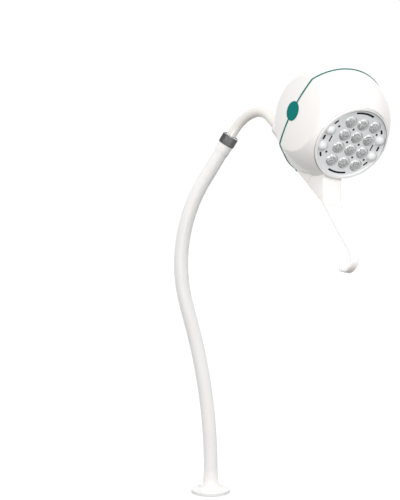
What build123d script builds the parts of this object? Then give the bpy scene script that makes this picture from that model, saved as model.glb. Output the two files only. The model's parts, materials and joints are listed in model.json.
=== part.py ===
from build123d import *
import os
from math import acos, ceil, cos, radians, sin, sqrt

# Surgical light on a gooseneck. Millimetres, +Z up.
# Origin: centre of the underside of the mounting flange.
# The gooseneck lies in the XZ plane; the head hangs off a bent tube and points down and forward.

# ---- mounting base ---------------------------------------------------------------------------
FLANGE_R = 35.0
FLANGE_T = 6.0
MOUNT_PCD = 56.0
MOUNT_HOLE_R = 2.75
BOOT_TOP_Z = 40.0
BOOT_TOP_R = 13.0
BOOT_LOW_R = 15.0
BOOT_FLARE = 5.0
BOOT_SCREW_RING = 12.4
ROOT_ROD_R = 8.0

# ---- gooseneck -------------------------------------------------------------------------------
# Centreline from the base up: (length, turn to the right in degrees) of each stretch.
NECK_RUNS = [(41.0, 0.0), (273.0, -14.4), (42.0, 0.0), (240.0, 45.4), (82.0, 0.0)]
NECK_JOINTS = [120.0, 255.0, 390.0, 525.0]      # distance of each ball joint along the centreline
SLEEVE_R = 12.8
SLEEVE_BORE_R = 10.4
SLEEVE_GAP = 7.0                                # space between two sleeves at a ball joint
CUFF_R = 13.7
CUFF_LENGTH = 20.0
BALL_R = 8.0
FIT = 0.05                                      # radial clearance of the running fits
CUP_R = 10.0
CUP_RIM = 3.0                                   # how far the cup reaches below the ball centre
CUP_LENGTH = 10.0
ROD_R = 5.0
WIRE_BORE_R = 2.8
LEAD_R = 2.5

# ---- swivel collar and bent tube -------------------------------------------------------------
COLLAR_R = 15.0
COLLAR_HALF = 9.0
TUBE_R = 8.75
TUBE_BORE_R = 7.0
TUBE_RISE = 21.7                                # straight length above the collar's centre
TUBE_BEND_R = 58.9
TUBE_REACH = 38.6                               # straight length from the bend to the head's boss

# ---- head ------------------------------------------------------------------------------------
# Head axes: x along the beam, y across, z up. Its origin is the centre of the ball.
HEAD_YAW = -64.6
HEAD_PITCH = 23.8
HEAD_ROLL = 15.8
HEAD_R = 100.0
WALL = 3.0
CHEEK_R = 290.0
CHEEK_Y = 83.0
CHEEK_EDGE = 6.0
SEAM_X = -5.6
SEAM_W = 2.8
seam_back, seam_front = SEAM_X - SEAM_W / 2, SEAM_X + SEAM_W / 2
SEAM_PROUD = 1.0
CHIN_X, CHIN_Z = -12.0, -32.0                   # a second, smaller ball fills out the underside
CHIN_R = 76.0
KEEL_Z = -92.0                                  # height of the boss that the tube enters
KEEL_REAR = -130.2
KEEL_FRONT = -45.0
BOSS_R = 13.5
BOSS_ROOT_R = 16.0
WEB_HALF = 9.0
ROOT_HALF = 19.0                                # the handle's root has flat sides
ROOT_BOTTOM = -108.0
ROOT_EDGE = 3.0
CHAMBER = (-75.0, -45.0)                        # room for the tube's stop ring
CHAMBER_R = 11.5
TUBE_END_X = -58.0
BUTTON_R = 17.0
BUTTON_GAP = 0.3
BUTTON_TRAVEL = 1.5

# ---- light engine ----------------------------------------------------------------------------
MOUTH_R = 69.0
MOUTH_LIP_X = 60.0                              # the shell is thick from here to the mouth
BEZEL_R = 68.6
BEZEL_LIP = 3.8
BEZEL_FRONT = 76.8
BEZEL_BORE_R = 60.0
BEZEL_FLANGE_R = 73.0
BEZEL_FLANGE_T = 3.0
PLATE_FRONT = 73.2
PLATE_T = 3.0
BACKING_T = 1.6                                 # dark sheet behind the plate's slots
LENS_PITCH = 25.4
LENS_SHIFT = 4.1                                # the lenses sit to one side of the middle
LENS_R = 10.4
LENS_TOP = 78.2
DOME_R = 9.0
DOME_RISE = 8.0
DOME_SPOTS = [(y, z) for y in (-52.5, 52.5) for z in (-15.8, 15.8)]
HOLDER_R = 11.6
LENS_NECK_R = 4.5                               # the lens narrows to this in front of its chip
LENS_NECK_X = 55.4
BOARD_R = 58.0
CHASSIS_X = 30.0
CHASSIS_T = 4.0
SINK_X = 46.0
BOARD_X = 52.0
BOARD_T = 1.6

# ---- handle ----------------------------------------------------------------------------------
HANDLE_ROOT_X = 40.0                            # the handle's own root starts here
HANDLE_T = 6.0
HANDLE_LINE = [(84, -105), (103, -105.5), (124, -110), (175, -122.5), (212, -132), (229, -145),
               (225, -163), (207, -172)]
HANDLE_WIDTHS = [(60, 19), (104, 19), (124, 18.4), (155, 16.2), (190, 12.4), (217, 8.6), (240, 7.6)]
HOOK_HALF = 7.6
HOOK_TOP = -145.0

os.makedirs("parts", exist_ok=True)


def save(name, solids):
    """Write one node: a single solid, or a list of separate solids as one group."""
    shape = Compound(children=solids) if isinstance(solids, list) else solids
    export_step(shape, f"parts/{name}.step")


# ================================ centreline of the gooseneck =================================
def along(s):
    """Point and lean (radians, to +X) of the gooseneck's centreline at the distance s."""
    x = z = lean = 0.0
    for length, turn in NECK_RUNS:
        step = min(s, length)
        bend = radians(turn) * step / length
        if turn:
            radius = length / radians(turn)
            x += radius * (cos(lean) - cos(lean + bend))
            z += radius * (sin(lean + bend) - sin(lean))
        else:
            x += step * sin(lean)
            z += step * cos(lean)
        lean += bend
        s -= step
        if s <= 0:
            break
    return x, z, lean


def station(s):
    """A plane across the gooseneck at the distance s; its normal runs up the neck."""
    x, z, lean = along(s)
    return Plane(origin=(x, 0, z), x_dir=(cos(lean), 0, -sin(lean)), z_dir=(sin(lean), 0, cos(lean)))


def neck_bar(start, stop, radius):
    """A round bar that follows the centreline between two distances."""
    if abs(along(start)[2] - along(stop)[2]) < 1e-6 or stop - start < 6:
        return extrude(station(start) * Circle(radius), amount=stop - start)
    steps = max(2, ceil((stop - start) / 25))
    planes = [station(start + (stop - start) * i / steps) for i in range(steps + 1)]
    path = Spline(*[p.origin for p in planes], tangents=[planes[0].z_dir, planes[-1].z_dir])
    return sweep(planes[0] * Circle(radius), path=path)


def neck_ring(start, stop, outer, inner):
    return neck_bar(start, stop, outer) - neck_bar(start, stop, inner)


def rod(radius, bottom, top):
    """A cylinder on the local Z axis between two heights."""
    return Pos(0, 0, (bottom + top) / 2) * Cylinder(radius, top - bottom)


def bar_x(radius, start, stop, y=0.0, z=0.0):
    """A cylinder along the head's x axis."""
    return Pos((start + stop) / 2, y, z) * Rot(0, 90, 0) * Cylinder(radius, stop - start)


NECK_LENGTH = sum(length for length, turn in NECK_RUNS)
RING_PLANE = station(NECK_LENGTH)

# ===================================== mounting base ==========================================
boot_profile = Plane.XZ * make_face(
    Polyline((ROOT_ROD_R, FLANGE_T), (BOOT_LOW_R + BOOT_FLARE, FLANGE_T))
    + ThreePointArc(
        (BOOT_LOW_R + BOOT_FLARE, FLANGE_T),
        (BOOT_LOW_R + BOOT_FLARE * 0.293, FLANGE_T + BOOT_FLARE * 0.293),
        (BOOT_LOW_R, FLANGE_T + BOOT_FLARE),
    )
    + Polyline(
        (BOOT_LOW_R, FLANGE_T + BOOT_FLARE),
        (BOOT_TOP_R, BOOT_TOP_Z),
        (ROOT_ROD_R, BOOT_TOP_Z),
        (ROOT_ROD_R, FLANGE_T),
    )
)
base_boot = revolve(boot_profile, Axis.Z)

mount_flange = rod(FLANGE_R, 0, FLANGE_T) - rod(ROOT_ROD_R, -1, FLANGE_T + 1)
rim = mount_flange.edges().group_by(Axis.Z)[-1].sort_by(SortBy.LENGTH)[-1]
mount_flange = chamfer(rim, 1.0)
for loc in PolarLocations(MOUNT_PCD / 2, 4, 45):
    mount_flange -= loc * rod(MOUNT_HOLE_R, -1, FLANGE_T + 1)

screw_at_centre = rod(2.7, 0.2, 1.8) + rod(1.5, 1.8, 18)
screw_at_centre -= Pos(0, 0, 0.2) * Box(3.0, 0.8, 1.2)
boot_screws = [loc * screw_at_centre for loc in PolarLocations(BOOT_SCREW_RING, 3)]
for loc in PolarLocations(BOOT_SCREW_RING, 3):
    mount_flange -= loc * (rod(2.75, -1, 1.8) + rod(1.55, 1, FLANGE_T + 1))
    base_boot -= loc * rod(1.5, FLANGE_T, 18)

socket_shell = rod(7.6, 0.4, 3) - rod(5.6, 0, 1.8)
base_connector = [socket_shell] + [Pos(x, 0, 0) * rod(1.0, 0.6, 1.8) for x in (-2.4, 2.4)]

save("mount_flange", mount_flange)
save("base_boot", base_boot)
save("boot_screws", boot_screws)
save("base_connector", base_connector)


# ======================================= gooseneck ============================================
def cup(joint):
    """The socket that takes the ball below it; it is open underneath."""
    body = rod(CUP_R, -CUP_RIM, CUP_LENGTH) - Sphere(BALL_R + FIT)
    return station(joint).location * body


def ball(joint):
    return station(joint).location * Sphere(BALL_R)


ends = [BOOT_TOP_Z] + NECK_JOINTS + [NECK_LENGTH - COLLAR_HALF]
last = len(NECK_JOINTS)
for i in range(last + 1):
    low, high = ends[i], ends[i + 1]
    first_link, last_link = i == 0, i == last
    sleeve_low = low if first_link else low + SLEEVE_GAP / 2
    sleeve_high = high if last_link else high - SLEEVE_GAP / 2
    sleeve = neck_ring(sleeve_low, sleeve_high, SLEEVE_R, SLEEVE_BORE_R)
    if last_link:
        sleeve += neck_ring(high - CUFF_LENGTH, high, CUFF_R, SLEEVE_BORE_R)

    if first_link:
        core = neck_bar(3, BOOT_TOP_Z, ROOT_ROD_R) + neck_bar(BOOT_TOP_Z, high - 5, ROD_R)
        wire_start = 3
    else:
        core = cup(low) + neck_bar(low + BALL_R + 1, high - (0 if last_link else 5), ROD_R)
        wire_start = low + BALL_R + 0.5
    for centre in (low + CUP_LENGTH + 1, high - 14):
        core += neck_bar(centre - 2, centre + 2, SLEEVE_BORE_R - FIT)
    if not last_link:
        core += ball(high)
    core -= neck_bar(wire_start - 1, high + (1 if last_link else BALL_R + 1), WIRE_BORE_R)

    save(f"neck_core_{i}", core)
    save(f"neck_sleeve_{i}", sleeve)
    save(f"neck_lead_{i}", neck_bar(wire_start, high - 1, LEAD_R))

# ====================================== swivel collar =========================================
collar = rod(COLLAR_R, -COLLAR_HALF, COLLAR_HALF)
collar = chamfer(collar.edges().filter_by(GeomType.CIRCLE), 1.2)
collar -= rod(WIRE_BORE_R, -COLLAR_HALF - 1, COLLAR_HALF)
collar -= rod(11.6, -4, COLLAR_HALF + 1)
bush = rod(11.6, 0, COLLAR_HALF) - rod(TUBE_R + FIT, -1, COLLAR_HALF + 1)
stop_ring = rod(10.8, -2.6, -1.0) - rod(TUBE_R, -3, 0)

save("swivel_collar", RING_PLANE.location * collar)
save("swivel_bush", RING_PLANE.location * bush)
save("swivel_stop", RING_PLANE.location * stop_ring)

# ======================================== bent tube ===========================================
yaw, pitch, roll = radians(HEAD_YAW), radians(HEAD_PITCH), radians(HEAD_ROLL)
beam = Vector(cos(pitch) * cos(yaw), cos(pitch) * sin(yaw), -sin(pitch))
level = Vector(-sin(yaw), cos(yaw), 0)
head_up = beam.cross(level) * cos(roll) + level * sin(roll)

climb = RING_PLANE.z_dir
inward = (beam - climb * climb.dot(beam)).normalized()
turn = acos(climb.dot(beam))


def on_bend(angle, bend_start):
    return bend_start + climb * (TUBE_BEND_R * sin(angle)) + inward * (TUBE_BEND_R * (1 - cos(angle)))


tube_foot = RING_PLANE.origin - climb * 3.0
bend_start = RING_PLANE.origin + climb * TUBE_RISE
bend_stop = on_bend(turn, bend_start)
boss_face = bend_stop + beam * TUBE_REACH
head_centre = boss_face - beam * KEEL_REAR - head_up * KEEL_Z
tube_tip = boss_face + beam * (TUBE_END_X - KEEL_REAR)
HEAD_PLANE = Plane(origin=head_centre, x_dir=beam, z_dir=head_up)


def tube_solid(radius, start, stop):
    path = Wire([
        Line(start, bend_start).edge(),
        ThreePointArc(bend_start, on_bend(turn / 2, bend_start), bend_stop).edge(),
        Line(bend_stop, stop).edge(),
    ])
    return sweep(Plane(origin=start, z_dir=climb) * Circle(radius), path=path)


neck_tube = tube_solid(TUBE_R, tube_foot, tube_tip)
neck_tube -= tube_solid(TUBE_BORE_R, tube_foot - climb, tube_tip + beam)
save("neck_tube", neck_tube)
save("tube_lead", tube_solid(LEAD_R, tube_foot + climb, tube_tip - beam))


# ======================================= head shells ==========================================
def pod(grow):
    """The ball with its two domed cheeks, grown outward by a distance."""
    form = Sphere(HEAD_R + grow)
    for side in (-1, 1):
        form &= Pos(0, -side * (CHEEK_R - CHEEK_Y), 0) * Sphere(CHEEK_R + grow)
    rims = form.edges().filter_by(GeomType.CIRCLE).filter_by(lambda e: e.radius < 0.9 * HEAD_R)
    return fillet(rims, CHEEK_EDGE)


def slab(start, stop):
    """Everything between two distances along the beam."""
    return Pos((start + stop) / 2, 0, 0) * Box(stop - start, 400, 600)


def keel(grow):
    """The boss that carries the tube, its web up to the ball, the chin and the flat-sided handle root."""
    boss_length = KEEL_FRONT - KEEL_REAR
    boss = Pos((KEEL_FRONT + KEEL_REAR) / 2, 0, KEEL_Z) * Rot(0, 90, 0) * Cone(
        BOSS_R + grow, BOSS_ROOT_R + grow, boss_length)
    chin = Pos(CHIN_X, 0, CHIN_Z) * Sphere(CHIN_R + grow)
    web = extrude(
        Plane.XZ * make_face(Polyline(
            (KEEL_REAR + 6, KEEL_Z), (KEEL_REAR + 18, KEEL_Z + 26), (KEEL_REAR + 42, KEEL_Z + 50),
            (KEEL_FRONT, KEEL_Z + 30), (KEEL_FRONT, KEEL_Z), (KEEL_REAR + 6, KEEL_Z),
        )),
        amount=WEB_HALF + grow, both=True,
    )
    web_edges = web.edges().filter_by(lambda e: abs(e.center().Y) > 1 and e.center().X < -95)
    web = fillet(web_edges.filter_by(lambda e: e.center().Z > KEEL_Z + 5), WEB_HALF - 3)
    bottom = ROOT_BOTTOM - grow
    root = extrude(
        Plane.XZ * make_face(Polyline(
            (seam_back, -60), (seam_back, bottom), (94, bottom), (106, bottom + 3), (74, -74), (62, -60),
            (seam_back, -60),
        )),
        amount=ROOT_HALF + grow, both=True,
    )
    root_edges = root.edges().filter_by(lambda e: e.center().Z < bottom + 0.1 and abs(e.center().Y) > 1)
    root = fillet(root_edges, ROOT_EDGE)
    return boss + chin + web + root


def posts(spots, radius, start, stop):
    """Screw posts along the beam, trimmed to the shell's wall."""
    return [bar_x(radius, start, stop, y, z) & pod(-0.5) for y, z in spots]


def polar(radius, *angles):
    """Points at angles from straight up."""
    return [(radius * sin(radians(a)), radius * cos(radians(a))) for a in angles]


SHELL_SCREWS = polar(87, 24, -24, 156, -156)
CHASSIS_SCREWS = polar(78, 42, -42, 138, -138)
BOARD_POSTS = [(y, z) for y in (-25.0, 25.0) for z in (-24.0, 39.0)]
HANDLE_SCREWS = [(52.0, -9.0), (52.0, 9.0)]

cavity = pod(-WALL)
outer = pod(0) + (keel(0) & slab(-200, HANDLE_ROOT_X))
button_hole = Pos(SEAM_X, 0, 0) * Rot(90, 0, 0) * Cylinder(BUTTON_R + BUTTON_GAP, 300)
tube_bore = bar_x(TUBE_R + FIT, KEEL_REAR - 1, CHAMBER[0], z=KEEL_Z)
chamber = bar_x(CHAMBER_R, *CHAMBER, z=KEEL_Z)

rear_shell = (outer & slab(-200, seam_back)) - cavity - button_hole - tube_bore - chamber
for post in posts(SHELL_SCREWS, 5.5, -70, seam_back) + posts(BOARD_POSTS, 3.5, -95, -60):
    rear_shell += post
for y, z in SHELL_SCREWS:
    rear_shell -= bar_x(3.4, -90, -29, y, z)
    rear_shell -= bar_x(1.6, -40, 0, y, z)
for y, z in BOARD_POSTS:
    rear_shell -= bar_x(1.2, -70, -59, y, z)

front_shell = (outer & slab(seam_front, 200)) - (cavity & slab(-200, MOUTH_LIP_X))
front_shell = front_shell - bar_x(MOUTH_R, 50, 120) - button_hole
for post in posts(SHELL_SCREWS, 5.5, seam_front, 40):
    front_shell += post
for post in posts(CHASSIS_SCREWS, 4.5, CHASSIS_X + CHASSIS_T, 70):
    front_shell += post
for y, z in SHELL_SCREWS:
    front_shell -= bar_x(1.5, -20, 10, y, z)
for y, z in CHASSIS_SCREWS:
    front_shell -= bar_x(1.2, CHASSIS_X, 46, y, z)

seam_form = pod(SEAM_PROUD) + keel(SEAM_PROUD)
seam_gasket = (seam_form & slab(seam_back, seam_front)) - cavity - button_hole

shell_screw = bar_x(3.0, -32, -29) + bar_x(1.5, -29, 10)
shell_screw -= Pos(-32, 0, 0) * Box(3, 4.5, 0.9)

save("rear_shell", HEAD_PLANE.location * rear_shell)
save("seam_gasket", HEAD_PLANE.location * seam_gasket)
save("shell_screws", [HEAD_PLANE.location * Pos(0, y, z) * shell_screw for y, z in SHELL_SCREWS])

head_stop = bar_x(CHAMBER_R - 0.8, -72, -68, z=KEEL_Z) - bar_x(TUBE_R, -80, -60, z=KEEL_Z)
save("head_stop", HEAD_PLANE.location * head_stop)

# ========================================= handle =============================================
centre_line = Spline(*[(x, z) for x, z in HANDLE_LINE])
STEPS = 14


def beside(offset):
    """Points that run along the handle's centreline at a distance to one side of it."""
    spots = []
    for i in range(STEPS + 1):
        spot, way = centre_line @ (i / STEPS), centre_line % (i / STEPS)
        spots.append((spot.X - way.Y * offset, spot.Y + way.X * offset))
    return spots


upper, lower = beside(HANDLE_T / 2), beside(-HANDLE_T / 2)
tip = centre_line @ 1 + (centre_line % 1) * (HANDLE_T / 2)
side_view = make_face(
    Spline(*upper) + ThreePointArc(upper[-1], (tip.X, tip.Y), lower[-1])
    + Spline(*lower) + Line(upper[0], lower[0])
)
edge_right = Spline(*HANDLE_WIDTHS)
edge_left = Spline(*[(x, -w) for x, w in HANDLE_WIDTHS])
plan_view = make_face(
    edge_right + edge_left
    + Line(edge_right @ 0, edge_left @ 0)
    + Line(edge_right @ 1, edge_left @ 1)
)
blade_space = Pos(0, 0, HOOK_TOP) * extrude(plan_view, amount=120)
hook_space = Pos(200, 0, HOOK_TOP - 30) * Box(100, 2 * HOOK_HALF, 60)
side_solid = extrude(Plane.XZ * side_view, amount=40, both=True)
blade = (side_solid & blade_space) + (side_solid & hook_space)
root_block = (keel(0) & slab(HANDLE_ROOT_X, 200)) - pod(0)
handle = root_block + blade
handle_screws = []
for x, y in HANDLE_SCREWS:
    shaft = Pos(x, y, 0) * rod(1.5, -101, -78)
    head = Pos(x, y, 0) * rod(3.0, -78, -76)
    handle -= shaft
    front_shell -= shaft
    handle_screws.append(head + shaft)
save("front_shell", HEAD_PLANE.location * front_shell)
save("handle", HEAD_PLANE.location * handle)
save("handle_screws", [HEAD_PLANE.location * s for s in handle_screws])

# ======================================= light engine =========================================
bezel_back = MOUTH_LIP_X - BEZEL_FLANGE_T
flange = bar_x(BEZEL_FLANGE_R, bezel_back, MOUTH_LIP_X) & pod(-WALL - 0.3)
bezel = bar_x(BEZEL_R, bezel_back, BEZEL_FRONT) + flange
plate_back = PLATE_FRONT - PLATE_T
backing_back = plate_back - BACKING_T
bezel = bezel - bar_x(BEZEL_R - BEZEL_LIP, backing_back, 90) - bar_x(BEZEL_BORE_R, 50, 90)
lens_spots = []
for j in (-1.5, -0.5, 0.5, 1.5):
    for i in (-1, 0, 1):
        lens_spots.append((i * LENS_PITCH + LENS_SHIFT, -j * LENS_PITCH))

plate = bar_x(BEZEL_R - BEZEL_LIP - 0.1, plate_back, PLATE_FRONT)
backing = bar_x(BEZEL_R - BEZEL_LIP - 0.1, backing_back, plate_back)
for y, z in lens_spots:
    opening = bar_x(LENS_R + 0.1, 60, 90, y, z)
    plate -= opening
    backing -= opening
for y, z in DOME_SPOTS:
    plate -= bar_x(DOME_R + 0.1, 60, 90, y, z)


def slot(y, z, length, width, angle):
    """A round-ended slot through the lens plate; the angle is from the head's y axis."""
    shape = Rot(0, 0, angle) * SlotOverall(length, width)
    return extrude(Plane.YZ.offset(PLATE_FRONT - 5) * Pos(y, z) * shape, amount=10)


def arc_slot(radius, middle, half, width):
    """A slot along a circle about the beam."""
    path = CenterArc((0, 0), radius, middle - half, 2 * half)
    return extrude(Plane.YZ.offset(PLATE_FRONT - 5) * SlotArc(path, width), amount=10)


for middle in (90, 270):
    plate -= arc_slot(58.6, middle, 16.5, 3.6)
for side in (-1, 1):
    plate -= slot(side * 48, side * -32, 9.5, 3.0, 57)
    plate -= slot(side * 48, side * 32, 9.5, 3.6, -57)
    plate -= slot(side * 57.5, 0, 9.5, 3.8, 90)
    plate -= slot(side * 43.9, 0, 12.5, 2.5, 90)

PLATE_SCREWS = [
    (-39.2, 25.4), (-8.8, 25.4), (41.0, 25.4), (-8.8, 0), (16.2, 0),
    (-39.2, -25.4), (16.2, -25.4), (41.0, -25.4),
]
screw_head_x = plate_back + 0.9
plate_screw = bar_x(1.9, plate_back, screw_head_x) + bar_x(1.2, 60, plate_back)
plate_screw -= Pos(screw_head_x, 0, 0) * Box(0.8, 2.6, 0.6)
plate_screws = []
for y, z in PLATE_SCREWS:
    plate -= bar_x(2.2, 60, 90, y, z)
    backing -= bar_x(1.3, 60, 90, y, z)
    plate_screws.append(Pos(0, y, z) * plate_screw)


def domed(outline, top):
    """A piece turned about the beam: straight (radius, x) points closed by a spherical cap."""
    radius, base = outline[-1]
    back = outline[0][1]
    rise = top - base
    cap_r = (radius**2 + rise**2) / (2 * rise)
    shoulder = (radius / 2, top - cap_r + sqrt(cap_r**2 - radius**2 / 4))
    profile = make_face(
        Polyline((0, back), *outline) + ThreePointArc((radius, base), shoulder, (0, top))
        + Line((0, top), (0, back))
    )
    return Rot(0, 90, 0) * revolve(Plane.XZ * profile, Axis.Z)


lens = domed([(LENS_NECK_R, LENS_NECK_X), (LENS_R, plate_back), (LENS_R, PLATE_FRONT)], LENS_TOP)
dome = domed([(DOME_R, plate_back), (DOME_R, PLATE_FRONT + 0.5)], PLATE_FRONT + DOME_RISE)
board_front = BOARD_X + BOARD_T
holder_bore = LENS_NECK_R + 0.2
holder_face = make_face(Polyline(
    (holder_bore, board_front), (HOLDER_R, board_front), (HOLDER_R, backing_back), (9.9, backing_back),
    (holder_bore, LENS_NECK_X), (holder_bore, board_front),
))
lens_holder = Rot(0, 90, 0) * revolve(Plane.XZ * holder_face, Axis.Z)

led_board = bar_x(BOARD_R, BOARD_X, board_front)
chip = Pos(board_front + 0.7, 0, 0) * Box(1.4, 4.5, 4.5)
sink = bar_x(BOARD_R, SINK_X, BOARD_X)
fin_length = SINK_X - CHASSIS_X - CHASSIS_T
for k in range(-4, 5):
    fin = Pos(SINK_X - fin_length / 2, k * 12, 0) * Box(fin_length, 2, 2 * BOARD_R)
    sink += fin & bar_x(BOARD_R, 20, SINK_X + 1)

chassis = cavity & slab(CHASSIS_X, CHASSIS_X + CHASSIS_T)
chassis -= bar_x(9, 0, 60)
for side in (-1, 1):
    chassis += Pos(0, side * 63, 0) * Box(2 * CHASSIS_X, 2, 26)
for y, z in CHASSIS_SCREWS:
    chassis -= bar_x(1.5, 0, 60, y, z)
for y, z in SHELL_SCREWS:
    chassis -= bar_x(6.0, 0, 60, y, z)
chassis_screw = bar_x(2.8, CHASSIS_X - 2, CHASSIS_X) + bar_x(1.2, CHASSIS_X, 44)

save("bezel", HEAD_PLANE.location * bezel)
save("lens_plate", HEAD_PLANE.location * plate)
save("plate_backing", HEAD_PLANE.location * backing)
save("lens_holders", [HEAD_PLANE.location * Pos(0, y, z) * lens_holder for y, z in lens_spots])
save("plate_screws", [HEAD_PLANE.location * s for s in plate_screws])
for number, (y, z) in enumerate(lens_spots, 1):
    save(f"lens_{number:02d}", HEAD_PLANE.location * Pos(0, y, z) * lens)
save("side_domes", [HEAD_PLANE.location * Pos(0, y, z) * dome for y, z in DOME_SPOTS])
save("led_board", HEAD_PLANE.location * led_board)
save("led_chips", [HEAD_PLANE.location * Pos(0, y, z) * chip for y, z in lens_spots + DOME_SPOTS])
save("heat_sink", HEAD_PLANE.location * sink)
save("chassis", HEAD_PLANE.location * chassis)
save("chassis_screws", [HEAD_PLANE.location * Pos(0, y, z) * chassis_screw for y, z in CHASSIS_SCREWS])

# ==================================== driver and switches =====================================
driver = [
    Pos(-59.2, 0, 7.5) * Box(1.6, 60, 75),
    Pos(-50.4, -14, 25) * Rot(0, 90, 0) * Cylinder(8, 16),
    Pos(-50.4, 14, 25) * Rot(0, 90, 0) * Cylinder(8, 16),
    Pos(-52.4, 0, -4) * Box(12, 20, 20),
]
save("driver_board", [HEAD_PLANE.location * s for s in driver])

feed = Spline((CHAMBER[1] - 5, 0, KEEL_Z + 3), (CHAMBER[1] - 4, 0, -70), (-55.9, 0, -24))
head_lead = sweep(Plane(origin=feed @ 0, z_dir=feed % 0) * Circle(LEAD_R), path=feed)
save("head_lead", HEAD_PLANE.location * head_lead)

switches = []
for side in (-1, 1):
    switches.append(Pos(SEAM_X, side * 64.8, 0) * Box(24, 1.6, 24))
    switches.append(Pos(SEAM_X, side * 67.8, 0) * Box(10, 4.4, 10))
save("switch_boards", [HEAD_PLANE.location * s for s in switches])

for name, side in (("power_button", -1), ("dimmer_button", 1)):
    disc = Pos(SEAM_X, side * 80, 0) * Rot(90, 0, 0) * Cylinder(BUTTON_R, 10)
    disc &= Pos(0, -side * (CHEEK_R - CHEEK_Y), 0) * Sphere(CHEEK_R + 0.8)
    stem = Pos(SEAM_X, side * 74.1, 0) * Rot(90, 0, 0) * Cylinder(4, 3.8)
    save(name, HEAD_PLANE.location * (disc + stem))
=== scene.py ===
import json
from math import cos, pi, radians, sin, sqrt

import bpy
from mathutils import Matrix, Vector


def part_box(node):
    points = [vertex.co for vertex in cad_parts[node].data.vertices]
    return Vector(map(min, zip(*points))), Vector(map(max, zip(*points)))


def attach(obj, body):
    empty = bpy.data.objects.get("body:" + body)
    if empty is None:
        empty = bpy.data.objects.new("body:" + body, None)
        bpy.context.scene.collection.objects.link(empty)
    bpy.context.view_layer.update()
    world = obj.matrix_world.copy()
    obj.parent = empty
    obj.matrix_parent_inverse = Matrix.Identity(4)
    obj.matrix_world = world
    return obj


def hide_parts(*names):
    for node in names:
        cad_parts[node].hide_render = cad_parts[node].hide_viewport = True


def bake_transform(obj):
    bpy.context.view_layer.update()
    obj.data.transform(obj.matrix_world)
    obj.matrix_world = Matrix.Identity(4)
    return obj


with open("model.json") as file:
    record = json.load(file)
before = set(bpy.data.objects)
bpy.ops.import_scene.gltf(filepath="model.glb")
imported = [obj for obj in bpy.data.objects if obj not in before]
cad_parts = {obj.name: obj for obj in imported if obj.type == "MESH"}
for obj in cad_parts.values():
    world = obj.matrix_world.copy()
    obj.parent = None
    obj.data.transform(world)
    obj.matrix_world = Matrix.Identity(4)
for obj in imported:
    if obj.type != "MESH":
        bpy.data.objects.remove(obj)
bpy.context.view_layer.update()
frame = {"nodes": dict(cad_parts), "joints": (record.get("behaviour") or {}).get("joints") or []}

# Looks of the surgical light, in metres unless a section says millimetres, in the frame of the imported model.
# The head's own axes: x along the beam, y across, z up, from the centre of the ball.

MM = 0.001
NODES = frame["nodes"]

# ---- head axes, read from the frame ----------------------------------------------------------
joint = {j["name"]: j for j in frame["joints"]}
BEAM = Vector(joint["head_roll"]["axis"]).normalized()
ACROSS = Vector(joint["power_press"]["axis"]).normalized()
HEAD_UP = BEAM.cross(ACROSS)
KEEL_DROP, KEEL_REAR = 0.092, 0.1302        # from the head_roll joint up and forward to the ball's centre
HEAD_CENTRE = Vector(joint["head_roll"]["pos_m"]) + BEAM * KEEL_REAR + HEAD_UP * KEEL_DROP
HEAD = Matrix((
    (BEAM.x, ACROSS.x, HEAD_UP.x, HEAD_CENTRE.x),
    (BEAM.y, ACROSS.y, HEAD_UP.y, HEAD_CENTRE.y),
    (BEAM.z, ACROSS.z, HEAD_UP.z, HEAD_CENTRE.z),
    (0, 0, 0, 1),
))


# ========================================== camera ============================================
CAMERA_TILT = radians(10)
CAMERA_DISTANCE = 5.0
VIEW_HEIGHT = 0.923         # what the picture's height takes in at the camera's distance
AIM_LEFT = 0.01975          # the middle of the picture, from the origin
AIM_UP = 0.44581
SENSOR_WIDTH = 36
CLIP_NEAR, CLIP_FAR = 0.1, 200


def make_camera():
    ahead = Vector((0, cos(CAMERA_TILT), -sin(CAMERA_TILT)))
    up = Vector((0, sin(CAMERA_TILT), cos(CAMERA_TILT)))
    right = Vector((1, 0, 0))
    camera = bpy.data.objects.new("camera", bpy.data.cameras.new("camera"))
    bpy.context.scene.collection.objects.link(camera)
    aim = up * AIM_UP - right * AIM_LEFT
    camera.location = aim - ahead * CAMERA_DISTANCE
    camera.rotation_euler = (pi / 2 - CAMERA_TILT, 0, 0)
    camera.data.sensor_width = SENSOR_WIDTH
    camera.data.lens = SENSOR_WIDTH * CAMERA_DISTANCE / VIEW_HEIGHT
    camera.data.clip_start = CLIP_NEAR
    camera.data.clip_end = CLIP_FAR
    bpy.context.scene.camera = camera


# ========================================= materials ==========================================
NOISE_LOW, NOISE_HIGH = 0.3, 0.7    # the part of a texture's range that carries its pattern
CLOUD_SCALE = 14                    # texture scales are per metre
GLOSS_SCALE = 45
STAIN_SCALE = 60
FACET_SCALE = 420
FINE_GRAIN = 0.00002                # depth of the relief, in metres
GRAIN_STRENGTH = 0.35
COAT_ROUGHNESS = 0.12
ACRYLIC_IOR = 1.49
# Painted reflection on the lenses: light and dark reflector facets seen through the acrylic, and a white
# crescent on the flange.
FACET_PAINTED_REFLECTION_LIGHT = (0.66, 0.68, 0.68)
FACET_PAINTED_REFLECTION_DARK = (0.26, 0.275, 0.275)
FLANGE_PAINTED_REFLECTION = (0.97, 0.98, 0.99)
PAINTED_REFLECTION_TILT = (0.11, 0.12)           # how far the centre of the painted reflection leans from the lens's axis, across and up
PAINTED_REFLECTION_EDGE = (0.72, 0.75)           # cosine of the lens's slope where the painted reflector facets give way to the painted white crescent on the flange
WHITE = (0.87, 0.848, 0.833)
GASKET_TEAL = (0.005, 0.165, 0.145)
BUTTON_TEAL = (0.0, 0.18, 0.165)


def new_material(name):
    material = bpy.data.materials.new(name)
    material.use_nodes = True
    tree = material.node_tree
    shader = tree.nodes["Principled BSDF"]
    return material, tree, shader


def noise(tree, scale, detail=3.0):
    place = tree.nodes.new("ShaderNodeTexCoord")
    texture = tree.nodes.new("ShaderNodeTexNoise")
    texture.inputs["Scale"].default_value = scale
    texture.inputs["Detail"].default_value = detail
    tree.links.new(place.outputs["Object"], texture.inputs["Vector"])
    return texture.outputs["Fac"]


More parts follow.
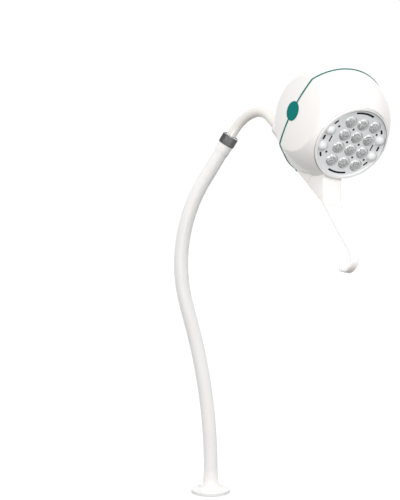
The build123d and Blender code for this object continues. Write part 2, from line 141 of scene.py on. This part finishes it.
def spread(tree, value, low, high):
    """Spreads the patterned part of a texture's range over low to high."""
    node = tree.nodes.new("ShaderNodeMapRange")
    node.inputs["From Min"].default_value = NOISE_LOW
    node.inputs["From Max"].default_value = NOISE_HIGH
    node.inputs["To Min"].default_value = low
    node.inputs["To Max"].default_value = high
    tree.links.new(value, node.inputs["Value"])
    return node.outputs["Result"]


def two_tone(tree, value, dark, light):
    ramp = tree.nodes.new("ShaderNodeValToRGB")
    ramp.color_ramp.elements[0].position = NOISE_LOW
    ramp.color_ramp.elements[1].position = NOISE_HIGH
    ramp.color_ramp.elements[0].color = (*dark, 1)
    ramp.color_ramp.elements[1].color = (*light, 1)
    tree.links.new(value, ramp.inputs["Fac"])
    return ramp.outputs["Color"]


def bump(tree, shader, height, strength, distance):
    node = tree.nodes.new("ShaderNodeBump")
    node.inputs["Strength"].default_value = strength
    node.inputs["Distance"].default_value = distance
    tree.links.new(height, node.inputs["Height"])
    tree.links.new(node.outputs["Normal"], shader.inputs["Normal"])


def shade(colour, factor):
    return tuple(c * factor for c in colour)


def moulded(name, colour, rough, grain=1400.0, depth=FINE_GRAIN, coat=0.0, metallic=0.0, specular=0.5):
    """Moulded or coated surface: faint cloudiness, uneven gloss and a fine grain."""
    material, tree, shader = new_material(name)
    clouds = two_tone(tree, noise(tree, CLOUD_SCALE), shade(colour, 0.97), colour)
    gloss = spread(tree, noise(tree, GLOSS_SCALE, 5), rough * 0.85, rough * 1.2)
    tree.links.new(clouds, shader.inputs["Base Color"])
    tree.links.new(gloss, shader.inputs["Roughness"])
    bump(tree, shader, noise(tree, grain, 2), GRAIN_STRENGTH, depth)
    shader.inputs["Coat Weight"].default_value = coat
    shader.inputs["Coat Roughness"].default_value = COAT_ROUGHNESS
    shader.inputs["Metallic"].default_value = metallic
    shader.inputs["Specular IOR Level"].default_value = specular
    return material


def metal(name, colour, rough, grain=900.0):
    """Machined or plated metal: faint staining, with gloss and relief from one fine grain."""
    material, tree, shader = new_material(name)
    texture = noise(tree, grain, 4)
    stains = two_tone(tree, noise(tree, STAIN_SCALE), shade(colour, 0.9), colour)
    tree.links.new(spread(tree, texture, rough * 0.7, rough * 1.3), shader.inputs["Roughness"])
    tree.links.new(stains, shader.inputs["Base Color"])
    bump(tree, shader, texture, 0.2, FINE_GRAIN)
    shader.inputs["Metallic"].default_value = 1.0
    return material


def lens_painted_reflection(tree):
    """Painted reflection: light and dark reflector facets where the lens faces a tilted axis, and a painted
    white crescent on its flange beyond.
    """
    place = tree.nodes.new("ShaderNodeTexCoord")
    cells = tree.nodes.new("ShaderNodeTexVoronoi")
    cells.inputs["Scale"].default_value = FACET_SCALE
    tree.links.new(place.outputs["Object"], cells.inputs["Vector"])
    # light and dark facets: painted reflection of the reflector behind the lens
    painted_facet_reflections = two_tone(tree, cells.outputs["Distance"], FACET_PAINTED_REFLECTION_LIGHT, FACET_PAINTED_REFLECTION_DARK)

    facing = tree.nodes.new("ShaderNodeVectorMath")
    facing.operation = "DOT_PRODUCT"
    facing.inputs[1].default_value = (BEAM - ACROSS * PAINTED_REFLECTION_TILT[0] - HEAD_UP * PAINTED_REFLECTION_TILT[1]).normalized()
    tree.links.new(place.outputs["Normal"], facing.inputs[0])
    edge = tree.nodes.new("ShaderNodeMapRange")
    edge.interpolation_type = "SMOOTHSTEP"
    edge.inputs["From Min"].default_value = PAINTED_REFLECTION_EDGE[0]
    edge.inputs["From Max"].default_value = PAINTED_REFLECTION_EDGE[1]
    tree.links.new(facing.outputs["Value"], edge.inputs["Value"])

    mix = tree.nodes.new("ShaderNodeMix")
    mix.data_type = "RGBA"
    tree.links.new(edge.outputs["Result"], mix.inputs["Factor"])
    colours = [socket for socket in mix.inputs if socket.type == "RGBA"]
    # the pale flange colour is a painted reflection, the white crescent
    colours[0].default_value = (*FLANGE_PAINTED_REFLECTION, 1)
    tree.links.new(painted_facet_reflections, colours[1])
    return next(socket for socket in mix.outputs if socket.type == "RGBA")


def clear_lens(name):
    """Moulded acrylic, with a painted reflection in its colour: the grey reflector seen through it, and a
    white crescent.
    """
    material, tree, shader = new_material(name)
    tree.links.new(lens_painted_reflection(tree), shader.inputs["Base Color"])
    tree.links.new(spread(tree, noise(tree, 160), 0.03, 0.08), shader.inputs["Roughness"])
    bump(tree, shader, noise(tree, 260, 1), 0.05, 0.0001)
    shader.inputs["Transmission Weight"].default_value = 0.3
    shader.inputs["IOR"].default_value = ACRYLIC_IOR
    shader.inputs["Coat Weight"].default_value = 1.0
    shader.inputs["Coat Roughness"].default_value = 0.02
    return material


def frosted(name):
    """Acrylic with a fine etched surface that lets a little light through."""
    material, tree, shader = new_material(name)
    clouds = two_tone(tree, noise(tree, 90), (0.80, 0.815, 0.83), (0.86, 0.87, 0.885))
    tree.links.new(clouds, shader.inputs["Base Color"])
    tree.links.new(spread(tree, noise(tree, 500), 0.3, 0.42), shader.inputs["Roughness"])
    bump(tree, shader, noise(tree, 2500, 2), 0.3, FINE_GRAIN)
    shader.inputs["Transmission Weight"].default_value = 0.1
    shader.inputs["IOR"].default_value = ACRYLIC_IOR
    return material


def circuit(name, colour):
    """Solder-mask board: fine mottle with a slight sheen."""
    return moulded(name, colour, 0.35, grain=600, depth=0.00003, coat=0.3)


def make_plastics():
    return {
        "shell": moulded("shell_gloss", WHITE, 0.2, grain=900, depth=0.00001, coat=0.35),
        "bezel": moulded("bezel_white", (0.87, 0.87, 0.865), 0.26, coat=0.2),
        "handle": moulded("handle_white", (0.875, 0.855, 0.843), 0.3, grain=1200, coat=0.15),
        "gasket": moulded("teal_gasket", GASKET_TEAL, 0.6, grain=1800, depth=0.00003, specular=0.25),
        "button": moulded("teal_button", BUTTON_TEAL, 0.6, grain=2200, depth=0.00004, specular=0.08),
        "sleeve": moulded("sleeve_white", (0.86, 0.852, 0.842), 0.36, grain=1500),
        "tube": moulded("tube_cream", (0.80, 0.77, 0.73), 0.24, coat=0.3),
        "flange": moulded("flange_white", (0.84, 0.84, 0.83), 0.34, grain=700, depth=0.00003),
        "plate": moulded("plate_silver", (0.745, 0.77, 0.78), 0.34, grain=2400, depth=0.00003, metallic=0.1),
        "lens": clear_lens("lens_acrylic_painted_reflection"),
        "dome": frosted("dome_frosted"),
        "lead": moulded("lead_jacket", (0.03, 0.03, 0.032), 0.5),
        "board": circuit("board_green", (0.02, 0.12, 0.05)),
        "white_board": circuit("board_white", (0.75, 0.76, 0.77)),
        "chip": moulded("led_phosphor", (0.85, 0.7, 0.22), 0.4),
        # dark plastic, also used as painted shade in the plate's slots
        "dark": moulded("dark_plastic_and_painted_shade", (0.014, 0.014, 0.015), 0.55, specular=0.3),
        # grey for the seals and lens rims, and for the painted shade where the seal beads thicken
        "seal_and_painted_shade": moulded("seal_and_painted_shade_grey", (0.22, 0.22, 0.225), 0.6),
    }


def make_metals():
    return {
        "chrome": metal("dark_chrome", (0.10, 0.10, 0.103), 0.36, grain=1200),
        "bright": metal("bright_chrome", (0.8, 0.8, 0.8), 0.12, grain=1200),
        "steel": metal("zinc_steel", (0.6, 0.6, 0.58), 0.32),
        "aluminium": metal("die_cast_aluminium", (0.72, 0.73, 0.74), 0.4, grain=500),
        "coil": metal("spring_steel", (0.45, 0.45, 0.45), 0.35),
        "reflector": metal("reflector_grey", (0.62, 0.64, 0.65), 0.25, grain=260),
        "black_screw": metal("blackened_screw", (0.10, 0.10, 0.105), 0.4),
    }


# ======================================= mesh helpers =========================================
def mesh_piece(name, verts, faces, material, smooth=True):
    mesh = bpy.data.meshes.new(name)
    mesh.from_pydata([tuple(v) for v in verts], [], faces)
    mesh.update()
    if smooth:
        mesh.polygons.foreach_set("use_smooth", [True] * len(mesh.polygons))
    mesh.materials.append(material)
    piece = bpy.data.objects.new(name, mesh)
    bpy.context.scene.collection.objects.link(piece)
    return piece


def skin(name, rings, material, closed=False, capped=True):
    """A skin over rings of points; closed joins the last ring to the first, capped fills the ends."""
    count = len(rings[0])
    verts = [p for ring in rings for p in ring]
    faces = []
    for i in range(len(rings) - (0 if closed else 1)):
        j = (i + 1) % len(rings)
        for k in range(count):
            m = (k + 1) % count
            faces.append((i * count + k, i * count + m, j * count + m, j * count + k))
    if capped and not closed:
        faces.append(tuple(reversed(range(count))))
        faces.append(tuple((len(rings) - 1) * count + k for k in range(count)))
    return mesh_piece(name, verts, faces, material)


def between(table, t):
    """Value at t of a short (position, value) table, in straight stretches."""
    for (t0, v0), (t1, v1) in zip(table, table[1:]):
        if t <= t1:
            share = (t - t0) / (t1 - t0)
            return v0 + (v1 - v0) * share
    return table[-1][1]


def curve_through(points, count, fine=40):
    """Evenly spaced points on a smooth curve through the given ones, which is first drawn finely."""
    dense = []
    padded = [points[0]] + list(points) + [points[-1]]
    for a, b, c, d in zip(padded, padded[1:], padded[2:], padded[3:]):
        a, b, c, d = (Vector(p) for p in (a, b, c, d))
        for i in range(fine):
            t = i / fine
            dense.append(0.5 * (2 * b + (c - a) * t + (2 * a - 5 * b + 4 * c - d) * t**2
                                + (3 * b - a - 3 * c + d) * t**3))
    dense.append(Vector(points[-1]))
    run = [0.0]
    for p, q in zip(dense, dense[1:]):
        run.append(run[-1] + (q - p).length)
    out, k = [], 0
    for i in range(count + 1):
        want = run[-1] * i / count
        while k < len(run) - 2 and run[k + 1] < want:
            k += 1
        share = (want - run[k]) / max(run[k + 1] - run[k], 1e-9)
        out.append(dense[k].lerp(dense[k + 1], share))
    return out


# ======================================== light face ==========================================
SLOT_REACH = 0.0625              # slots and screw holes in the lens plate lie within this radius
WALL_FACING = 0.5                # a face that looks along the beam less than this is a hole's wall
PLATE_FRONT = 0.0732             # the plate's front face, along the beam
LENS_COUNT = 12
LENS_EDGE = 0.0104
MOUTH_EDGE = (0.0724, 0.0691)    # outside the bezel: along the beam, and from its axis
LIP_EDGE = (0.0764, 0.0651)      # the bezel's inner lip
BEAD_SIDES = 8
SEAL_POINTS, RIM_POINTS = 192, 64

# Bead tables: degrees round from the head's up direction, and the bead's radius in millimetres.
RIM_BEADS = [(0, 0.42), (360, 0.42)]
# The mouth and lip beads are thin grey seals, thickened only where shade falls on the bezel's edges: painted
# shade.
MOUTH_SEAL_AND_SHADE_BEADS = [(0, 0.1), (150, 0.1), (170, 0.35), (190, 0.7), (215, 0.55), (240, 0.15), (360, 0.1)]
LIP_SEAL_AND_SHADE_BEADS = [
    (0, 0.75), (40, 0.75), (80, 0.6), (105, 0.35), (130, 0.1),
    (300, 0.1), (325, 0.45), (345, 0.7), (360, 0.75),
]


def beam_distance(point):
    """Distance of a point from the beam's axis."""
    out = point - HEAD_CENTRE
    return (out - BEAM * out.dot(BEAM)).length


def paint_shade_in_slots(look):
    """Painted shade: the walls of the plate's slots and screw holes are painted black inside, where shade
    falls.
    """
    mesh = NODES["lens_plate"].data
    mesh.materials.append(look["dark"])
    # painted shade on each hole's wall
    for polygon in mesh.polygons:
        if abs(polygon.normal.dot(BEAM)) < WALL_FACING and beam_distance(polygon.center) < SLOT_REACH:
            polygon.material_index = 1


def bead_rings(centre, radius, beads, count):
    """Rings of a bead that runs round the beam's direction, with its radius from a bead table."""
    rings = []
    for k in range(count):
        angle = 2 * pi * k / count
        spoke = ACROSS * sin(angle) + HEAD_UP * cos(angle)
        bead = between(beads, 360 * k / count) * MM
        ring = []
        for m in range(BEAD_SIDES):
            turn = 2 * pi * m / BEAD_SIDES
            ring.append(centre + spoke * (radius + bead * cos(turn)) + BEAM * (bead * sin(turn)))
        rings.append(ring)
    return rings


def head_bead(name, rings, material):
    bead = skin(name, rings, material, closed=True)
    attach(bead, "head")


def make_seals_and_painted_shade(look):
    """Thin grey seal beads outside and inside the bezel, thickened only on the sides where shade falls:
    painted shade.
    """
    for name, (along_beam, radius), beads in (
        ("mouth_seal_and_painted_shade", MOUTH_EDGE, MOUTH_SEAL_AND_SHADE_BEADS),
        ("lip_seal_and_painted_shade", LIP_EDGE, LIP_SEAL_AND_SHADE_BEADS),
    ):
        rings = bead_rings(HEAD_CENTRE + BEAM * along_beam, radius, beads, SEAL_POINTS)
        head_bead(name, rings, look["seal_and_painted_shade"])


def make_lens_rims(look):
    """A thin bead where each lens comes through the plate."""
    for number in range(1, LENS_COUNT + 1):
        low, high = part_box(f"lens_{number:02d}")
        out = (Vector(low) + Vector(high)) / 2 - HEAD_CENTRE
        centre = HEAD_CENTRE + out + BEAM * (PLATE_FRONT - out.dot(BEAM))
        rings = bead_rings(centre, LENS_EDGE, RIM_BEADS, RIM_POINTS)
        head_bead(f"lens_rim_{number:02d}", rings, look["seal_and_painted_shade"])


# ========================================= gooseneck ==========================================
NECK_RUNS = [(0.041, 0.0), (0.273, -14.4), (0.042, 0.0), (0.240, 45.4), (0.082, 0.0)]   # length, degrees
NECK_LENGTH = sum(length for length, turn in NECK_RUNS)
JOINT_AT = [0.120, 0.255, 0.390, 0.525]
BEND_HALF = 0.055           # half the stretch over which one joint bends
BOOT_TOP = 0.040
COLLAR_HALF = 0.009
SLEEVE_TOP = NECK_LENGTH - COLLAR_HALF

SLEEVE_R = 0.0128
CUFF_R = 0.0137
CUFF_LENGTH = 0.020
CUFF_FLARE = 0.006          # the length over which the sleeve widens into its cuff
RIB_PITCH = 0.0023
RIB_LOW, RIB_GROWTH = 0.00004, 0.00020
RIB_GROWS_FROM = 0.3
COIL_R = 0.0088
WIRE_BULGE = 0.0009
WIRE_PITCH = 0.0030
LEAD_R = 0.0025


def along(s):
    """Point and lean (radians, to +X) of the gooseneck's centreline at the distance s."""
    x = z = lean = 0.0
    for length, turn in NECK_RUNS:
        step = min(s, length)
        bend = radians(turn) * step / length
        if turn:
            radius = length / radians(turn)
            x += radius * (cos(lean) - cos(lean + bend))
            z += radius * (sin(lean + bend) - sin(lean))
        else:
            x += step * sin(lean)
            z += step * cos(lean)
        lean += bend
        s -= step
        if s <= 0:
            break
    return Vector((x, 0, z)), lean


def neck_axes(s):
    """Centre of the gooseneck at s, with the directions along it and to its two sides."""
    centre, lean = along(s)
    return centre, Vector((sin(lean), 0, cos(lean))), Vector((cos(lean), 0, -sin(lean))), Vector((0, 1, 0))


def neck_circle(s, radius, count):
    centre, _, right, side = neck_axes(s)
    turns = [2 * pi * k / count for k in range(count)]
    return [centre + (right * cos(turn) + side * sin(turn)) * radius for turn in turns]


def sleeve_radius(s):
    """The sleeve is faintly ribbed, more so near the top, and flares at the cuff."""
    ribs = RIB_LOW + RIB_GROWTH * max(0.0, (s - RIB_GROWS_FROM) / (SLEEVE_TOP - RIB_GROWS_FROM))
    flare = max(0.0, min(1.0, (s - (SLEEVE_TOP - CUFF_LENGTH)) / CUFF_FLARE))
    flare = flare * flare * (3 - 2 * flare)
    return SLEEVE_R + (CUFF_R - SLEEVE_R) * flare + ribs * cos(2 * pi * s / RIB_PITCH)


def coil_radius(s):
    """Round wire wound turn on turn."""
    return COIL_R + WIRE_BULGE * abs(sin(pi * s / WIRE_PITCH))


def lead_radius(s):
    """The lead is as thick all along."""
    return LEAD_R


def make_neck(look):
    """Sleeve, coil core and lead, each in stretches that span one joint, from mid-link to mid-link."""
    middles = [(a + b) / 2 for a, b in zip(JOINT_AT, JOINT_AT[1:])]
    cuts = [BOOT_TOP] + middles + [SLEEVE_TOP]
    layers = [                      # name, radius, length of a row, points round, material
        ("sleeve", sleeve_radius, 0.00046, 48, look["sleeve"]),
        ("coil", coil_radius, 0.0005, 24, look["coil"]),
        ("lead", lead_radius, 0.006, 12, look["lead"]),
    ]
    for i, (start, stop) in enumerate(zip(cuts, cuts[1:])):
        for layer, radius, step, count, material in layers:
            rows = round((stop - start) / step)
            rings = []
            for n in range(rows + 1):
                s = start + (stop - start) * n / rows
                rings.append(neck_circle(s, radius(s), count))
            piece = skin(f"neck_{layer}_stretch_{i + 1}", rings, material)
            kind = {"sleeve": "neck_sleeve", "coil": "neck_core", "lead": "neck_lead"}[layer]
            gone = [f"{kind}_{i}"] + ([f"{kind}_{i + 1}"] if i == len(JOINT_AT) - 1 else [])
            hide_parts(*gone)
            low, high = along(JOINT_AT[i] - BEND_HALF)[0], along(JOINT_AT[i] + BEND_HALF)[0]
            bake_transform(piece)


# ======================================== chrome collar =======================================
KNURL_RIDGES = 96
POINTS_PER_RIDGE = 4
KNURL_DEPTH = 0.13          # millimetres
COLLAR_PROFILE = [          # height and radius in millimetres, and 1 where the ring is knurled
    (-9.0, 5.0, 0), (-9.0, 13.9, 0), (-8.7, 14.5, 0), (-8.2, 14.8, 0), (-7.9, 14.7, 0), (-7.6, 14.8, 1),
    (-7.3, 14.85, 1), (0.0, 14.85, 1), (7.4, 14.85, 1), (7.7, 14.8, 1), (8.0, 14.6, 0), (8.3, 14.8, 0),
    (9.1, 14.95, 0), (9.7, 14.6, 0), (10.0, 13.9, 0), (10.1, 13.4, 0), (9.1, 13.2, 0), (9.0, 11.6, 0),
]
BRIGHT_ROWS = (12, 13)      # the upper rim's bevel, by its place in the profile


def make_collar(look):
    """Knurled ring between two plain rims, with a bright bevel on the upper one."""
    centre, up, right, side = neck_axes(NECK_LENGTH)
    count = KNURL_RIDGES * POINTS_PER_RIDGE
    rings = []
    for height, radius, knurl in COLLAR_PROFILE:
        ring = []
        for k in range(count):
            angle = 2 * pi * k / count
            r = radius + knurl * KNURL_DEPTH * cos(KNURL_RIDGES * angle)
            ring.append(centre + (up * height + (right * cos(angle) + side * sin(angle)) * r) * MM)
        rings.append(ring)
    collar = skin("knurled_collar", rings, look["chrome"], capped=False)
    collar.data.materials.append(look["bright"])
    for polygon in collar.data.polygons:
        polygon.material_index = 1 if polygon.index // count in BRIGHT_ROWS else 0
    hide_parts("swivel_collar")
    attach(collar, "neck_4")


# ========================================== handle ============================================
# All in millimetres of the head's own axes.
BALL_R = 100.0
ROOT_SINK = 2.5             # how deep the root's top lies inside the ball
ROOT_HALF = 19.0
ROOT_START, ROOT_FRONT = 40.0, 70.0
ROOT_BOTTOM = -108.0
ROOT_STEPS = 20
FACE_TOP = (74.0, -74.0)    # the root's sloped front face, from its top edge to where the blade starts
FACE_FOOT = (103.0, -102.2)
ROOT_CORNER, BLADE_CORNER = 2.0, 2.6
BLADE_T = 6.0
BLADE_STEPS = 90
BLADE_LINE = [(103, -105.3), (124, -110), (175, -122.5), (212, -132), (229, -145), (225, -163), (207, -172)]
BLADE_WIDTHS = [(0.0, 19.0), (0.125, 18.4), (0.31, 16.2), (0.52, 12.4), (0.69, 8.6), (0.78, 7.7), (1.0, 7.4)]
TIP_FROM = 0.965            # where along the blade its end starts to round off
TIP_LEAST = 0.02            # keeps the very end from shrinking to nothing
TIP_NARROWING = 0.45        # how much of its width the blade loses there
CORNER_STEPS = 5
LEAST_FLAT = 0.01           # half of the flat that always stays between two corners


def rounded_ring(top, bottom, half, corner):
    """A rounded rectangle between a top and a bottom point of the symmetry plane."""
    down = (bottom - top).normalized()
    height = (bottom - top).length
    corner = min(corner, height / 2 - LEAST_FLAT, half - LEAST_FLAT)
    ring = []
    for side, near, start in ((1, 0, 90), (1, 1, 0), (-1, 1, -90), (-1, 0, 180)):
        centre = top + down * (height - corner if near else corner)
        for k in range(CORNER_STEPS + 1):
            angle = radians(start - 90 * k / CORNER_STEPS)
            spot = centre - down * corner * sin(angle)
            ring.append((spot.x, side * (half - corner) + corner * cos(angle), spot.y))
    return ring


def root_stations():
    """Sections of the root, under the ball and then down its sloped front face."""
    stations = []
    reach = BALL_R - ROOT_SINK
    for i in range(ROOT_STEPS + 1):
        x = ROOT_START + (ROOT_FRONT - ROOT_START) * i / ROOT_STEPS
        top = Vector((x, -sqrt(reach * reach - x * x)))
        stations.append((top, Vector((x, ROOT_BOTTOM)), ROOT_HALF, ROOT_CORNER))
    for i in range(ROOT_STEPS):
        top = Vector(FACE_TOP).lerp(Vector(FACE_FOOT), i / ROOT_STEPS)
        corner = ROOT_CORNER + (BLADE_CORNER - ROOT_CORNER) * i / ROOT_STEPS
        stations.append((top, Vector((top.x, ROOT_BOTTOM)), ROOT_HALF, corner))
    return stations


def blade_stations():
    """Sections of the blade, square to its line, that round off at the curled end."""
    stations = []
    line = curve_through(BLADE_LINE, BLADE_STEPS)
    for i, spot in enumerate(line):
        way = (line[min(i + 1, BLADE_STEPS)] - line[max(i - 1, 0)]).normalized()
        out = Vector((-way.y, way.x))
        t = i / BLADE_STEPS
        end = max(0.0, (t - TIP_FROM) / (1 - TIP_FROM))
        shrink = sqrt(max(TIP_LEAST, 1 - end * end))
        half = between(BLADE_WIDTHS, t) * (1 - TIP_NARROWING * (1 - shrink))
        thick = BLADE_T / 2 * shrink
        stations.append((spot + out * thick, spot - out * thick, half, BLADE_CORNER * shrink))
    return stations


def make_handle(look):
    """A flat-sided root under the ball that runs out into a flat blade with a curled end."""
    rings = []
    for station in root_stations() + blade_stations():
        rings.append([HEAD @ (Vector(p) * MM) for p in rounded_ring(*station)])
    handle = skin("grip_handle", rings, look["handle"])
    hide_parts("handle")
    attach(handle, "head")


# ======================================== stage and light =====================================
FLOOR_HALF = 60.0
FLOOR_DROP = 0.0005
WORLD_ABOVE = 1.06
WORLD_BELOW = 0.01
WORLD_FADE = (-0.16, 0.0)   # the sky direction's height over which the world goes from dark to white
LIGHT_AIM = (0.15, -0.15, 0.6)


def area_light(name, place, aim, size, power, colour=(1, 1, 1)):
    light = bpy.data.lights.new(name, "AREA")
    light.shape = "DISK"
    light.size = size
    light.energy = power
    light.color = colour
    lamp = bpy.data.objects.new(name, light)
    bpy.context.scene.collection.objects.link(lamp)
    lamp.location = place
    lamp.rotation_euler = (Vector(aim) - Vector(place)).to_track_quat("-Z", "Y").to_euler()


def make_floor():
    """A pale floor that takes a soft shadow and gives matt surfaces no light from below."""
    half = FLOOR_HALF
    floor = mesh_piece(
        "floor", [(-half, -half, 0), (half, -half, 0), (half, half, 0), (-half, half, 0)], [(0, 1, 2, 3)],
        moulded("floor_pale", (0.985, 0.985, 0.985), 0.8, grain=200, specular=0.1), smooth=False,
    )
    floor.location.z = -FLOOR_DROP
    floor.visible_diffuse = False


def make_world():
    """White above the horizon, and dark below it."""
    world = bpy.data.worlds.new("studio")
    world.use_nodes = True
    tree = world.node_tree
    place = tree.nodes.new("ShaderNodeTexCoord")
    split = tree.nodes.new("ShaderNodeSeparateXYZ")
    fade = tree.nodes.new("ShaderNodeMapRange")
    fade.interpolation_type = "SMOOTHSTEP"
    fade.inputs["From Min"].default_value = WORLD_FADE[0]
    fade.inputs["From Max"].default_value = WORLD_FADE[1]
    fade.inputs["To Min"].default_value = WORLD_BELOW
    fade.inputs["To Max"].default_value = WORLD_ABOVE
    background = tree.nodes["Background"]
    background.inputs["Color"].default_value = (1, 1, 1, 1)
    tree.links.new(place.outputs["Generated"], split.inputs["Vector"])
    tree.links.new(split.outputs["Z"], fade.inputs["Value"])
    tree.links.new(fade.outputs["Result"], background.inputs["Strength"])
    bpy.context.scene.world = world
    bpy.context.scene.view_settings.view_transform = "Standard"


def make_stage():
    make_floor()
    make_world()
    area_light("key", (1.5, -2.0, 2.3), LIGHT_AIM, 1.4, 16)
    area_light("front", (-0.4, -3.0, 0.9), LIGHT_AIM, 1.0, 35, (1.0, 0.982, 0.962))


# =========================================== build ============================================
# The first row whose start fits a node's name gives its material; nodes with no row of their own are steel.
FINISHES = [
    ("rear_shell", "shell"), ("front_shell", "shell"), ("base_boot", "handle"), ("bezel", "bezel"),
    ("base_connector", "dark"), ("seam_gasket", "gasket"), ("power_button", "button"),
    ("dimmer_button", "button"), ("neck_tube", "tube"), ("mount_flange", "flange"),
    ("chassis_screws", "steel"), ("chassis", "aluminium"), ("heat_sink", "aluminium"),
    # the black plate backing behind the slots stands in for the shade inside: painted shade
    ("lens_plate", "plate"), ("lens_holders", "reflector"), ("lens_", "lens"), ("plate_backing", "dark"),
    ("plate_screws", "black_screw"), ("side_domes", "dome"), ("driver_board", "board"),
    ("switch_boards", "board"), ("led_board", "white_board"), ("led_chips", "chip"),
    ("tube_lead", "lead"), ("head_lead", "lead"), ("", "steel"),
]


def paint_nodes(look):
    for name in NODES:
        finish = next(finish for start, finish in FINISHES if name.startswith(start))
        mesh = NODES[name].data
        mesh.materials.clear()
        mesh.materials.append(look[finish])
        for polygon in mesh.polygons:
            polygon.material_index = 0


make_camera()
look = {**make_plastics(), **make_metals()}
make_neck(look)
make_collar(look)
make_handle(look)
paint_nodes(look)
paint_shade_in_slots(look)
make_seals_and_painted_shade(look)
make_lens_rims(look)
make_stage()
